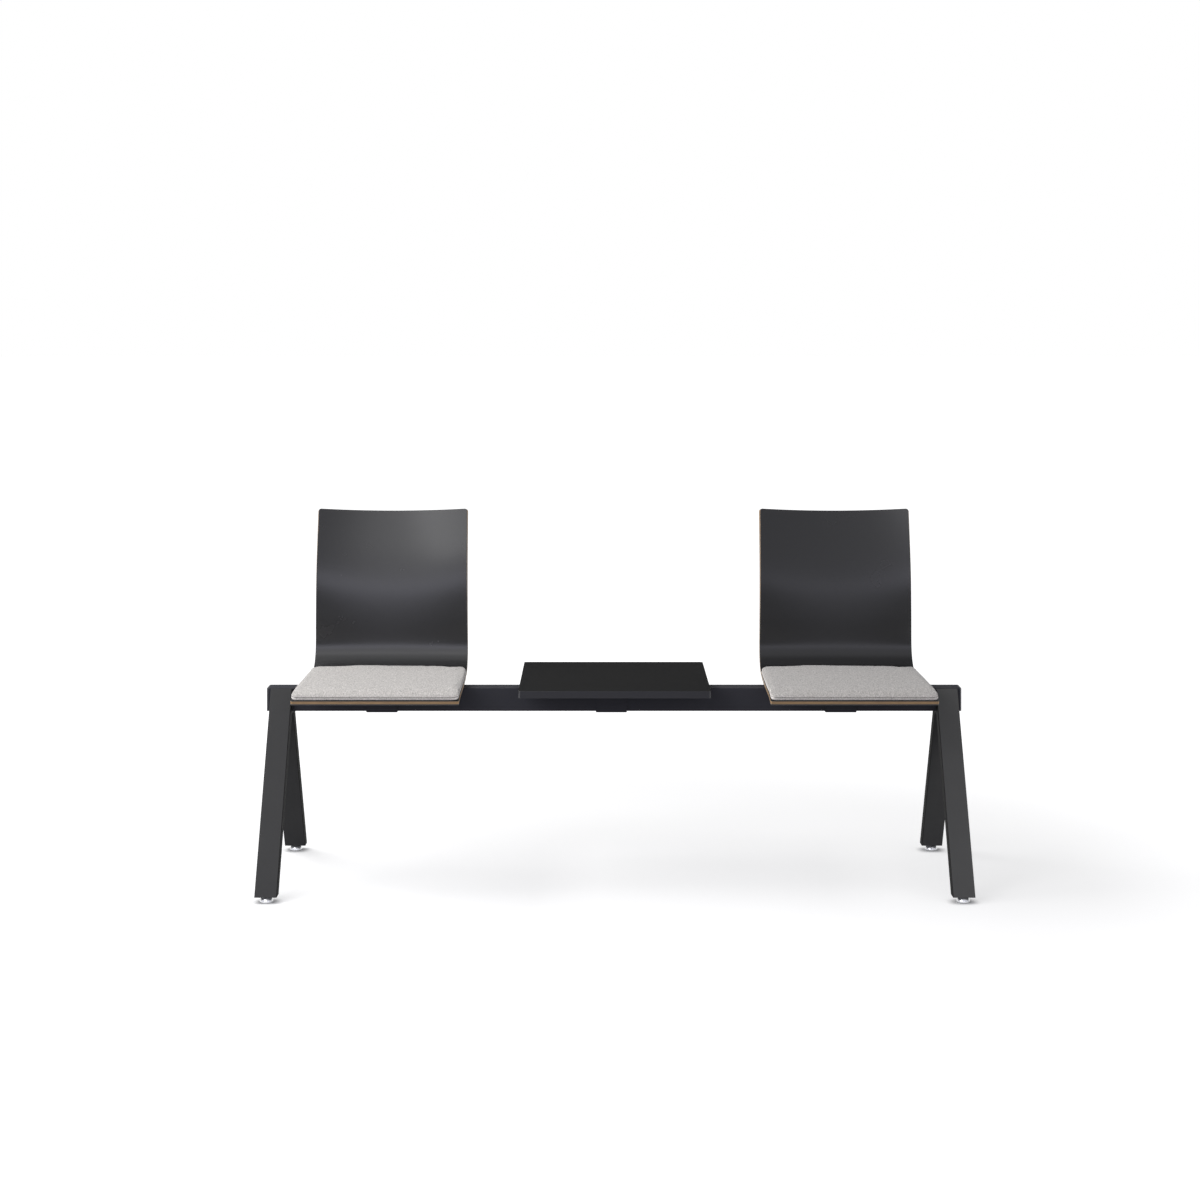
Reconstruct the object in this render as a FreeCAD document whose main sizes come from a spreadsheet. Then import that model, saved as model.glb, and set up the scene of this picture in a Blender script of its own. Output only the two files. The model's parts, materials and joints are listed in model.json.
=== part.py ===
"""A visitors' beam bench: two moulded plywood seats and a small table on one square beam.

Millimetres, +Z up, the floor at Z = 0. The beam runs along X and the sitter faces -Y. Left and right are
as seen from the front. The origin lies on the floor, in the middle of the bench's length and depth.
"""
import FreeCAD, Part
import math
import os
import re

import Sketcher
from FreeCAD import Placement, Rotation, Vector

SIDES = {"left": -1, "right": 1}

SIZES = [
    # beam
    ("beam_length", 1622, "beam over its end caps"),
    ("beam_depth", 50, "beam tube, front to back"),
    ("beam_height", 54, "beam tube, top to bottom"),
    ("beam_wall", 2, "beam tube wall"),
    ("beam_corner", 2.5, "beam tube outer corner radius"),
    ("beam_floor", 383, "floor to the underside of the beam"),
    ("cap_head", 3, "end cap thickness outside the tube"),
    ("cap_edge", 0.6, "end cap edge radius"),
    ("plug_depth", 14, "end cap plug inside the tube"),
    ("plug_wall", 2, "end cap plug wall"),
    ("plug_gap", 0.2, "end cap plug to tube wall"),
    # leg frames
    ("leg_inset", 9.6, "beam end to the outer side of a leg"),
    ("leg_width", 50, "leg tube along the beam"),
    ("leg_depth", 30, "leg tube square to its own length"),
    ("leg_wall", 2, "leg tube wall"),
    ("leg_corner", 2, "leg tube outer corner radius"),
    ("front_reach", 276, "beam centre line to the toe of a front leg"),
    ("rear_reach", 235, "beam centre line to the heel of a rear leg"),
    ("leg_top_drop", 1, "beam top down to the top of a front leg"),
    ("bracket_sheet", 4, "leg bracket plate"),
    ("leg_bolt", 8, "leg bolt thread"),
    ("leg_bolt_spread", 24, "leg bolts, centre to centre"),
    ("leg_bolt_head", 14, "leg bolt head diameter"),
    ("leg_bolt_head_height", 4.5, "leg bolt head height"),
    ("leg_bolt_tip", 3, "leg bolt past the bracket"),
    ("thread_gap", 0.05, "radial play of a thread in its hole"),
    ("hole_gap", 0.3, "radial play of a bolt in a plain hole"),
    # feet
    ("glide_height", 14, "floor to the cut end of a leg"),
    ("glide_base", 31, "glide dome diameter at the floor"),
    ("glide_top", 17, "glide dome diameter at its top"),
    ("glide_rim", 2.2, "upright rim of the glide dome"),
    ("glide_chamfer", 0.8, "bevel under the rim of the glide dome"),
    ("glide_curve", 12, "profile radius of the glide dome"),
    ("glide_stop_gap", 0.3, "glide dome to the leg when screwed home"),
    ("glide_stud", 8, "glide stud thread"),
    ("stud_root", 6, "floor to the foot of the stud in the dome"),
    ("stud_rise", 17, "stud above the cut end of the leg"),
    ("stud_chamfer", 1, "bevel on the stud"),
    ("foot_plate", 4, "plate that closes a leg"),
    ("foot_nut", 13, "nut welded on the foot plate, across flats"),
    ("foot_nut_height", 6, "nut welded on the foot plate"),
    # clamps under the seats and the table
    ("saddle_width", 72, "clamp saddle along the beam"),
    ("saddle_sheet", 3, "clamp saddle plate"),
    ("saddle_flange", 22, "clamp saddle flange"),
    ("saddle_bend", 4, "outer bend radius of the saddle"),
    ("clamp_gap", 0.5, "saddle flange to carrier, closed by the bolts"),
    ("clamp_shift", -6.5, "middle of a seat or the table to the middle of its clamp"),
    ("clamp_bolt", 6, "clamp bolt thread"),
    ("clamp_bolt_spread", 48, "clamp bolts along the beam"),
    ("clamp_bolt_reach", 11, "saddle wall to a clamp bolt's axis"),
    ("clamp_head", 10, "clamp bolt head, across flats"),
    ("clamp_head_height", 4, "clamp bolt head"),
    ("clamp_nut", 10, "clamp nut, across flats"),
    ("clamp_nut_height", 3.2, "clamp nut"),
    ("clamp_tip", 0.4, "clamp bolt past its nut"),
    ("carrier_length", 230, "carrier plate along the beam"),
    ("carrier_depth", 160, "carrier plate, front to back"),
    ("carrier_sheet", 4, "carrier plate"),
    ("carrier_fold", 14, "stiffening fold of the carrier, over all"),
    # fixings of the shells and the table top
    ("spacer_height", 4, "carrier to the underside of a shell"),
    ("spacer_width", 18, "spacer diameter"),
    ("spacer_gap", 0.2, "spacer to shell"),
    ("fixing_spread", 190, "fixing screws along the beam"),
    ("fixing_rows", 110, "fixing screws, front to back"),
    ("fixing_screw", 6, "fixing screw thread"),
    ("fixing_head", 12, "fixing screw head diameter"),
    ("fixing_head_height", 3.5, "fixing screw head"),
    ("fixing_grip", 6.5, "fixing screw inside its insert"),
    ("insert_width", 9, "threaded insert diameter"),
    ("insert_depth", 7.5, "threaded insert depth"),
    # seat shells
    ("seat_pitch", 536, "seat centre to table centre"),
    ("shell_thickness", 10, "plywood shell"),
    ("seat_front", 255, "beam centre line to the front edge of a seat"),
    ("nose_run", 60, "length of the turned-down front"),
    ("nose_radius", 230, "radius of the turned-down front"),
    ("front_width", 376, "shell width at the front edge"),
    ("bend_width", 368, "shell width at the bend"),
    ("top_width", 359.5, "shell width at the top edge"),
    ("front_corner", 4, "front corner radius"),
    ("top_corner", 6, "top corner radius"),
    ("bend_start", 93.5, "beam centre line to the start of the bend"),
    ("bend_radius", 58, "inner radius of the bend"),
    ("waist_rise", 175, "seat to the waist of the back"),
    ("upper_rise", 290, "seat to the flat top of the back"),
    ("back_rise", 383.5, "seat to the top corners"),
    ("back_dip", 8, "top corners down to the middle of the top edge"),
    ("rim_lean_low", -6.1, "lean of a side edge above the bend, degrees"),
    ("rim_lean_waist", 0, "lean of a side edge at the waist, degrees"),
    ("rim_lean_top", 13.2, "lean of a side edge at the top, degrees"),
    ("mid_shift", 4.7, "how much further back the bend starts in the middle"),
    ("mid_lean_low", 0, "lean of the middle above the bend, degrees"),
    ("mid_lean_waist", 4, "lean of the middle at the waist, degrees"),
    ("mid_lean_top", 17, "lean of the middle at the top, degrees"),
    # seat pads
    ("pad_thickness", 12, "pad at its edges"),
    ("pad_crown", 1.5, "rise of the pad in the middle"),
    ("pad_gap", 0.3, "pad to shell"),
    ("pad_inset", 1.2, "side of the shell to the side of the pad"),
    ("pad_front_inset", 1.2, "front of the shell to the underside of the pad"),
    ("pad_rear", 100, "beam centre line to the rear corners of the pad"),
    ("pad_bulge", 10, "how far the rear edge bows out"),
    ("pad_draw", 0.6, "how far the sides draw in between the corners"),
    ("pad_corner", 9, "pad corner radius from above"),
    ("pad_edge", 4, "rounding of the pad's upper edge"),
    # table
    ("table_width", 435, "table top along the beam"),
    ("table_depth", 416, "table top, front to back"),
    ("table_thickness", 16, "table top"),
    ("table_corner", 6, "table corner radius"),
    ("table_edge", 0.8, "bevel of the table's edges"),
    # spare length of a cut, past the piece it cuts
    ("cut_over", 30, "how far a cut runs past the piece"),
]

PLACES = [
    ("beam_line", "(front_reach - rear_reach) / 2", "centre line of the beam from the origin"),
    ("beam_top", "beam_floor + beam_height", ""),
    ("beam_middle", "beam_floor + beam_height / 2", ""),
    ("tube_half", "beam_length / 2 - cap_head", "half the bare tube"),
    ("leg_line", "beam_length / 2 - leg_inset - leg_width / 2", "middle of a leg frame"),
    ("bracket_face", "beam_depth / 2 + bracket_sheet", "front of the leg bracket"),
    ("bracket_floor", "beam_floor - bracket_sheet", "underside of the leg bracket"),
    ("leg_top", "beam_top - leg_top_drop", ""),
    ("front_slope", "(front_reach - bracket_face) / (leg_top - glide_height)", ""),
    ("rear_slope", "(rear_reach - beam_depth / 2) / (bracket_floor - glide_height)", ""),
    ("front_cut", "leg_depth / cos(atan(front_slope))", "front leg, level through it"),
    ("rear_cut", "leg_depth / cos(atan(rear_slope))", "rear leg, level through it"),
    ("front_skin", "leg_wall / cos(atan(front_slope))", "front leg's wall, level through it"),
    ("rear_skin", "leg_wall / cos(atan(rear_slope))", "rear leg's wall, level through it"),
    ("wedge_floor", "leg_top - front_cut / front_slope", "lower end of the front leg's upright cut"),
    ("front_foot", "-front_reach + front_cut / 2", "axis of a front glide"),
    ("rear_foot", "rear_reach - rear_cut / 2", "axis of a rear glide"),
    ("glide_crest", "glide_height - glide_stop_gap", "top of the glide dome"),
    ("saddle_side", "beam_depth / 2 + saddle_sheet", "outer side of the saddle"),
    ("flange_top", "beam_top - clamp_gap", ""),
    ("flange_floor", "flange_top - saddle_sheet", ""),
    ("clamp_row", "saddle_side + clamp_bolt_reach", "clamp bolts from the beam's centre line"),
    ("carrier_top", "beam_top + carrier_sheet", ""),
    ("deck", "carrier_top + spacer_height", "underside of the shells and the table"),
    ("insert_hole", "insert_depth + fixing_screw / 30", "depth of the hole for an insert"),
    ("seat_top", "deck + shell_thickness", ""),
    ("nose_start", "-seat_front + nose_run", "where the seat begins to turn down"),
    ("nose_turn", "asin(nose_run / nose_radius)", ""),
    ("waist", "seat_top + waist_rise", ""),
    ("upper", "seat_top + upper_rise", ""),
    ("rim_shift", "0", "the bend of a side edge starts at bend_start"),
    ("rim_top", "seat_top + back_rise", ""),
    ("mid_top", "rim_top - back_dip", ""),
    ("pad_floor", "seat_top + pad_gap", ""),
    ("pad_side", "front_width / 2 - pad_inset", ""),
    ("pad_side_rear", "bend_width / 2 - pad_inset", ""),
    ("pad_top", "pad_floor + pad_thickness", ""),
    ("pad_crest", "pad_top + pad_crown", ""),
    ("pad_under", "nose_radius + pad_gap", "radius of the underside over the nose"),
    ("pad_over", "pad_under + pad_thickness + pad_crown", "radius of the top over the nose"),
    ("pad_turn", "asin((nose_run - pad_front_inset) / pad_under)", ""),
    ("pad_over_turn", "pad_turn - asin(pad_edge / pad_over)", ""),
    ("pad_front", "nose_start - pad_over * sin(pad_turn)", "foremost line of the pad"),
    ("pad_end", "pad_rear + pad_bulge", "rearmost line of the pad"),
    ("pad_lift", "bend_radius - sqrt((bend_radius - pad_gap)^2 - (pad_end - bend_start)^2)", ""),
    ("pad_long", "pad_rear - pad_front - 2 * pad_corner", "straight of a pad's side"),
    ("pad_side_bow", "(pad_long^2 / 4 + pad_draw^2) / (2 * pad_draw)", ""),
    ("pad_wide", "2 * (pad_side_rear - pad_corner)", "chord of the pad's rear edge"),
    ("pad_rear_bow", "(pad_wide^2 / 4 + pad_bulge^2) / (2 * pad_bulge)", ""),
    ("pad_flat", "pad_side - pad_edge", "half the crowned width"),
    ("pad_crown_bow", "(pad_flat^2 + pad_crown^2) / (2 * pad_crown)", ""),
]

doc = FreeCAD.newDocument("beam_bench")
sizes = doc.addObject("Spreadsheet::Sheet", "Sizes")
places = doc.addObject("Spreadsheet::Sheet", "Places")
owner = {}
nodes = []


def bound(text):
    """Puts the sheet's name before each size in an expression."""
    return re.sub(r"[a-z]\w*", lambda word: owner.get(word[0], "") + word[0], text)


def measure(text):
    """The value of an expression."""
    value = sizes.evalExpression(bound(text))
    return float(getattr(value, "Value", value))


def fill_sheets():
    """Writes the driving sizes as numbers and the places that follow from them as formulas."""
    for row, (alias, number, note) in enumerate(SIZES, 1):
        sizes.set(f"A{row}", note)
        sizes.set(f"B{row}", str(number))
        sizes.setAlias(f"B{row}", alias)
        owner[alias] = "Sizes."
    for row, (alias, formula, note) in enumerate(PLACES + shell_places(), 1):
        places.set(f"A{row}", note)
        places.set(f"B{row}", "=" + bound(formula))
        places.setAlias(f"B{row}", alias)
    for alias, _, _ in PLACES + shell_places():
        owner[alias] = "Places."
    doc.recompute()


def shell_places():
    """The line of a shell's side edges (rim) and of its middle (mid), as points joined by tangent arcs."""
    rows = []
    for line in ("rim", "mid"):
        low, waist, top = (f"{line}_lean_{part}" for part in ("low", "waist", "top"))
        rows += [
            (f"{line}_bend", f"bend_start + {'mid_shift' if line == 'mid' else 'rim_shift'}", ""),
            (f"{line}_low_y", f"{line}_bend + bend_radius * cos({low})", "end of the bend"),
            (f"{line}_low_z", f"seat_top + bend_radius * (1 - sin({low}))", ""),
            (f"{line}_low_radius", f"(waist - {line}_low_z) / (sin({waist}) - sin({low}))", ""),
            (f"{line}_waist_y", f"{line}_low_y + {line}_low_radius * (cos({low}) - cos({waist}))", ""),
            (f"{line}_upper_radius", f"(upper - waist) / (sin({top}) - sin({waist}))", ""),
            (f"{line}_upper_y", f"{line}_waist_y + {line}_upper_radius * (cos({waist}) - cos({top}))", ""),
            (f"{line}_top_y", f"{line}_upper_y + ({line}_top - upper) * tan({top})", ""),
        ]
    return rows


def new_body(label, x="0", y="beam_line"):
    """A body that stands on the floor at a place along and across the bench."""
    body = doc.addObject("PartDesign::Body", label)
    body.Label = label
    body.setExpression("Placement.Base.x", bound(x))
    body.setExpression("Placement.Base.y", bound(y))
    nodes.append(body)
    return body


def new_sketch(body, role, lift="0"):
    """A sketch on one of the body's own planes, lifted along the plane's normal."""
    sketch = body.newObject("Sketcher::SketchObject", body.Name + "_sketch")
    plane = next(item for item in body.Origin.OriginFeatures if item.Role == role)
    sketch.AttachmentSupport = (plane, [""])
    sketch.MapMode = "FlatFace"
    sketch.setExpression("AttachmentOffset.Base.z", bound(lift))
    return sketch


def tie(sketch, constraint, text):
    """Adds a constraint whose value is an expression."""
    number = sketch.addConstraint(constraint)
    sketch.setExpression(f"Constraints[{number}]", bound(text))


def arc_between(here, there, radius, turn):
    """The short arc from here to there, its centre on the left (turn 1) or the right (turn -1)."""
    half = (there - here) / 2
    left = Vector(-half.y, half.x, 0).normalize()
    centre = here + half + left * turn * math.sqrt(max(radius**2 - half.Length**2, 0))
    first, last = (here, there) if turn > 0 else (there, here)
    start = math.atan2(first.y - centre.y, first.x - centre.x)
    stop = math.atan2(last.y - centre.y, last.x - centre.x)
    if stop <= start:
        stop += 2 * math.pi
    return Part.ArcOfCircle(Part.Circle(centre, Vector(0, 0, 1), radius), start, stop)


def trace(sketch, corners):
    """Draws a closed outline. A corner is (across, up), or (across, up, radius, turn) where an arc leaves it."""
    points = [Vector(measure(corner[0]), measure(corner[1]), 0) for corner in corners]
    edges = []
    for here, there, corner in zip(points, points[1:] + points[:1], corners):
        if len(corner) == 2:
            edges.append((sketch.addGeometry(Part.LineSegment(here, there), False), 1, 2))
            continue
        radius, turn = measure(corner[2]), corner[3]
        edge = sketch.addGeometry(arc_between(here, there, radius, turn), False)
        edges.append((edge, 1, 2) if turn > 0 else (edge, 2, 1))
    for (edge, _, stop), (following, start, _) in zip(edges, edges[1:] + edges[:1]):
        sketch.addConstraint(Sketcher.Constraint("Coincident", edge, stop, following, start))
    for (edge, start, _), point, corner in zip(edges, points, corners):
        tie(sketch, Sketcher.Constraint("DistanceX", -1, 1, edge, start, point.x), corner[0])
        tie(sketch, Sketcher.Constraint("DistanceY", -1, 1, edge, start, point.y), corner[1])
        if len(corner) == 4:
            tie(sketch, Sketcher.Constraint("Radius", edge, measure(corner[2])), corner[2])


def round_hole(sketch, across, up, diameter):
    """Draws a circle."""
    centre = Vector(measure(across), measure(up), 0)
    circle = Part.Circle(centre, Vector(0, 0, 1), measure(diameter) / 2)
    edge = sketch.addGeometry(circle, False)
    tie(sketch, Sketcher.Constraint("Diameter", edge, measure(diameter)), diameter)
    tie(sketch, Sketcher.Constraint("DistanceX", -1, 1, edge, 3, centre.x), across)
    tie(sketch, Sketcher.Constraint("DistanceY", -1, 1, edge, 3, centre.y), up)


def hexagon(sketch, across, up, flats):
    """Draws a hexagon with a corner on each side, its flats front and back."""
    reach, half = f"{flats} / sqrt(3)", f"{flats} / 2"
    near = f"{flats} / sqrt(12)"
    corners = [(reach, "0"), (near, half), (f"-{near}", half), (f"-{reach}", "0")]
    corners += [(f"-{near}", f"-{half}"), (near, f"-{half}")]
    trace(sketch, [(f"{across} + {x}", f"{up} + {y}") for x, y in corners])


def round_box(sketch, up, width, height, corner):
    """Draws a rectangle with round corners, centred across."""
    side, rise = f"({width}) / 2", f"({height}) / 2"
    inner_side, inner_rise = f"({side} - {corner})", f"({rise} - {corner})"
    trace(sketch, [
        (f"-{inner_side}", f"{up} - {rise}"),
        (inner_side, f"{up} - {rise}", corner, 1),
        (side, f"{up} - {inner_rise}"),
        (side, f"{up} + {inner_rise}", corner, 1),
        (inner_side, f"{up} + {rise}"),
        (f"-{inner_side}", f"{up} + {rise}", corner, 1),
        (f"-{side}", f"{up} + {inner_rise}"),
        (f"-{side}", f"{up} - {inner_rise}", corner, 1),
    ])


def pad(body, sketch, length, side="Symmetric", reverse=False):
    """Gives a sketch its length."""
    feature = body.newObject("PartDesign::Pad", body.Name + "_pad")
    feature.Profile = sketch
    feature.SideType = side
    feature.Reversed = reverse
    feature.setExpression("Length", bound(length))
    return feature


def pocket(body, sketch, length=None, side="Symmetric", reverse=False):
    """Cuts a sketch out of the body, right through where no length is given."""
    doc.recompute()
    before = body.Shape.Volume
    feature = body.newObject("PartDesign::Pocket", body.Name + "_pocket")
    feature.Profile = sketch
    feature.SideType = side
    feature.Reversed = reverse
    if length:
        feature.setExpression("Length", bound(length))
    else:
        feature.Type = "ThroughAll"
    doc.recompute()
    if not body.Shape.Volume < before:
        raise RuntimeError(f"{feature.Name} cuts nothing")
    return feature


def edge_feature(body, kind, value, size, chosen):
    """Rounds or bevels the edges of the body that chosen picks."""
    doc.recompute()
    base = body.Tip
    names = [f"Edge{number}" for number, edge in enumerate(base.Shape.Edges, 1) if chosen(edge)]
    feature = body.newObject(kind, body.Name + "_edges")
    feature.Base = (base, names)
    feature.setExpression(value, bound(size))
    return feature


def revolve(body, corners):
    """Turns an outline of radius and height about the body's upright axis."""
    sketch = new_sketch(body, "XZ_Plane")
    trace(sketch, corners)
    feature = body.newObject("PartDesign::Revolution", body.Name + "_turned")
    feature.Profile = sketch
    feature.ReferenceAxis = (sketch, ["V_Axis"])
    feature.Angle = 360
    return feature


def solid(kind, name, x, y, z, turn=Rotation(), **values):
    """A plain solid with its sizes and its place tied to the sheets."""
    item = doc.addObject(kind, name)
    item.Placement = Placement(Vector(), turn)
    for axis, text in zip("xyz", (x, y, z)):
        item.setExpression(f"Placement.Base.{axis}", bound(text))
    for name_of_value, text in values.items():
        item.setExpression(name_of_value, bound(text))
    return item


def rod(name, x, y, low, high, diameter, turn=Rotation()):
    """A round bar from low to high, upright unless it is turned."""
    return solid("Part::Cylinder", name, x, y, low, turn, Radius=f"({diameter}) / 2", Height=f"{high} - ({low})")


def hex_bar(name, x, y, low, high, flats):
    """A hexagonal bar from low to high."""
    bar = solid("Part::Prism", name, x, y, low, Circumradius=f"({flats}) / sqrt(3)", Height=f"{high} - ({low})")
    bar.Polygon = 6
    return bar


def joined(name, pieces):
    """One solid out of several."""
    item = doc.addObject("Part::MultiFuse", name)
    item.Shapes = pieces
    return item


def drilled(name, piece, bore):
    """A piece with its bore taken out."""
    item = doc.addObject("Part::Cut", name)
    item.Base = piece
    item.Tool = bore
    return item


def group(label, pieces):
    """Like pieces that stay separate solids in one node."""
    item = doc.addObject("Part::Compound", label)
    item.Label = label
    item.Links = pieces
    nodes.append(item)


def grid(centre, along, across):
    """The four corners of a bolt pattern about a place on the beam."""
    return [
        (f"{centre} + {i} * {along} / 2", f"beam_line + {j} * {across} / 2")
        for i in (-1, 1)
        for j in (-1, 1)
    ]


def make_beam():
    """The square tube, with the holes for the leg bolts."""
    body = new_body("beam")
    sketch = new_sketch(body, "YZ_Plane")
    round_box(sketch, "beam_middle", "beam_depth", "beam_height", "beam_corner")
    round_box(sketch, "beam_middle", "beam_depth - 2 * beam_wall", "beam_height - 2 * beam_wall",
              "(beam_corner - beam_wall)")
    pad(body, sketch, "2 * tube_half")
    holes = new_sketch(body, "XZ_Plane")
    for frame in SIDES.values():
        for end in (-1, 1):
            round_hole(holes, f"{frame} * leg_line + {end} * leg_bolt_spread / 2", "beam_middle",
                       "leg_bolt + 2 * hole_gap")
    pocket(body, holes)


def make_end_cap(side, sign):
    """A plastic cap: a head with a rounded edge outside the tube and a hollow plug inside it."""
    body = new_body(f"beam_end_cap_{side}", x=f"{sign} * tube_half")
    head = new_sketch(body, "YZ_Plane")
    round_box(head, "beam_middle", "beam_depth", "beam_height", "beam_corner")
    pad(body, head, "cap_head", "One side", reverse=sign < 0)
    edge_feature(body, "PartDesign::Fillet", "Radius", "cap_edge",
                 lambda edge: all(abs(abs(v.X) - measure("cap_head")) < 0.01 for v in edge.Vertexes))
    plug = new_sketch(body, "YZ_Plane")
    inner = "{} - 2 * (beam_wall + plug_gap)"
    core = "{} - 2 * (beam_wall + plug_gap + plug_wall)"
    for form in (inner, core):
        round_box(plug, "beam_middle", form.format("beam_depth"), form.format("beam_height"),
                  "(beam_corner - beam_wall)")
    pad(body, plug, "plug_depth", "One side", reverse=sign > 0)


def make_leg_bracket(side, sign):
    """The folded plate that the two legs of a frame are welded to and the beam is bolted to."""
    body = new_body(f"leg_bracket_{side}", x=f"{sign} * leg_line")
    sketch = new_sketch(body, "YZ_Plane")
    trace(sketch, [
        ("-bracket_face", "wedge_floor"),
        ("-beam_depth / 2", "wedge_floor"),
        ("-beam_depth / 2", "bracket_floor"),
        ("beam_depth / 2", "bracket_floor"),
        ("beam_depth / 2", "beam_floor"),
        ("-beam_depth / 2", "beam_floor"),
        ("-beam_depth / 2", "leg_top"),
        ("-bracket_face", "leg_top"),
    ])
    pad(body, sketch, "leg_width")
    holes = new_sketch(body, "XZ_Plane")
    for end in (-1, 1):
        round_hole(holes, f"{end} * leg_bolt_spread / 2", "beam_middle", "leg_bolt + 2 * thread_gap")
    pocket(body, holes)


def make_leg(label, sign, outline, bore):
    """A leg: its side view, hollowed by a bore that runs out of both ends."""
    body = new_body(label, x=f"{sign} * leg_line")
    side_view = new_sketch(body, "YZ_Plane")
    trace(side_view, outline)
    pad(body, side_view, "leg_width")

    def long_edge(edge):
        return edge.Length > measure("2 * leg_width")

    edge_feature(body, "PartDesign::Fillet", "Radius", "leg_corner", long_edge)
    inside = new_sketch(body, "YZ_Plane")
    trace(inside, bore)
    pocket(body, inside, "leg_width - 2 * leg_wall")


def make_front_leg(side, sign):
    """A front leg, cut upright where it lies against the bracket and level at the floor."""
    front, rear = "-front_reach + front_skin", "-front_reach + front_cut - front_skin"
    past = "-bracket_face + leg_wall"
    make_leg(f"front_leg_{side}", sign, [
        ("-bracket_face", "leg_top"),
        ("-front_reach", "glide_height"),
        ("-front_reach + front_cut", "glide_height"),
        ("-bracket_face", "wedge_floor"),
    ], [
        (past, f"glide_height + ({past} - ({front})) / front_slope"),
        (f"{front} - leg_wall * front_slope", "glide_height - leg_wall"),
        (f"{rear} - leg_wall * front_slope", "glide_height - leg_wall"),
        (past, f"glide_height + ({past} - ({rear})) / front_slope"),
    ])


def make_rear_leg(side, sign):
    """A rear leg, cut level under the bracket and at the floor."""
    front, rear = "rear_reach - rear_cut + rear_skin", "rear_reach - rear_skin"
    rise = "(bracket_floor - glide_height)"
    make_leg(f"rear_leg_{side}", sign, [
        ("beam_depth / 2 - rear_cut", "bracket_floor"),
        ("rear_reach - rear_cut", "glide_height"),
        ("rear_reach", "glide_height"),
        ("beam_depth / 2", "bracket_floor"),
    ], [
        (f"{front} - ({rise} + leg_wall) * rear_slope", "bracket_floor + leg_wall"),
        (f"{front} + leg_wall * rear_slope", "glide_height - leg_wall"),
        (f"{rear} + leg_wall * rear_slope", "glide_height - leg_wall"),
        (f"{rear} - ({rise} + leg_wall) * rear_slope", "bracket_floor + leg_wall"),
    ])


def make_foot_plate(label, sign, front, rear, slope, foot):
    """The plate welded into the end of a leg, with a nut for the glide on its upper side."""
    body = new_body(label, x=f"{sign} * leg_line")
    plate = new_sketch(body, "YZ_Plane")
    top = "glide_height + foot_plate"
    trace(plate, [
        (front, "glide_height"),
        (rear, "glide_height"),
        (f"{rear} + foot_plate * {slope}", top),
        (f"{front} + foot_plate * {slope}", top),
    ])
    pad(body, plate, "leg_width - 2 * leg_wall")
    nut = new_sketch(body, "XY_Plane", top)
    hexagon(nut, "0", foot, "foot_nut")
    pad(body, nut, "foot_nut_height", "One side")
    hole = new_sketch(body, "XY_Plane", "glide_height")
    round_hole(hole, "0", foot, "glide_stud + 2 * thread_gap")
    pocket(body, hole)


def make_glide(corner, x, y):
    """A levelling glide: a domed foot on a threaded stud."""
    stud = new_body(f"glide_stud_{corner}", x=x, y=y)
    top = "glide_height + stud_rise"
    revolve(stud, [
        ("0", "stud_root"),
        ("glide_stud / 2", "stud_root"),
        ("glide_stud / 2", f"{top} - stud_chamfer"),
        ("glide_stud / 2 - stud_chamfer", top),
        ("0", top),
    ])
    foot = new_body(f"glide_foot_{corner}", x=x, y=y)
    revolve(foot, [
        ("0", "0"),
        ("glide_base / 2 - glide_chamfer", "0"),
        ("glide_base / 2", "glide_chamfer"),
        ("glide_base / 2", "glide_rim", "glide_curve", 1),
        ("glide_top / 2", "glide_crest"),
        ("glide_stud / 2 + thread_gap", "glide_crest"),
        ("glide_stud / 2 + thread_gap", "stud_root"),
        ("0", "stud_root"),
    ])


def make_leg_bolts(side, sign):
    """The bolts that hold the beam to a leg frame, put in from behind."""
    backwards = Rotation(Vector(1, 0, 0), -90)
    bolts = []
    for end in (-1, 1):
        name = f"leg_bolt_{side}_{'inner' if end == -sign else 'outer'}"
        x = f"{sign} * leg_line + {end} * leg_bolt_spread / 2"
        tip = "beam_line - bracket_face - leg_bolt_tip"
        rear = "beam_line + beam_depth / 2"
        shank = solid("Part::Cylinder", name + "_shank", x, tip, "beam_middle", backwards,
                      Radius="leg_bolt / 2", Height=f"{rear} - ({tip})")
        head = solid("Part::Cylinder", name + "_head", x, rear, "beam_middle", backwards,
                     Radius="leg_bolt_head / 2", Height="leg_bolt_head_height")
        bolts.append(joined(name, [shank, head]))
    group(f"leg_bolts_{side}", bolts)


def make_leg_frame(side, sign):
    """One pair of legs with its bracket, bolts, foot plates and glides."""
    make_leg_bracket(side, sign)
    make_front_leg(side, sign)
    make_rear_leg(side, sign)
    make_leg_bolts(side, sign)
    make_foot_plate(f"foot_plate_front_{side}", sign, "-front_reach + front_skin",
                    "-front_reach + front_cut - front_skin", "front_slope", "front_foot")
    make_foot_plate(f"foot_plate_rear_{side}", sign, "rear_reach - rear_cut + rear_skin",
                    "rear_reach - rear_skin", "-rear_slope", "rear_foot")
    for end in ("front", "rear"):
        make_glide(f"{end}_{side}", f"{sign} * leg_line", f"beam_line + {end}_foot")


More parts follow.
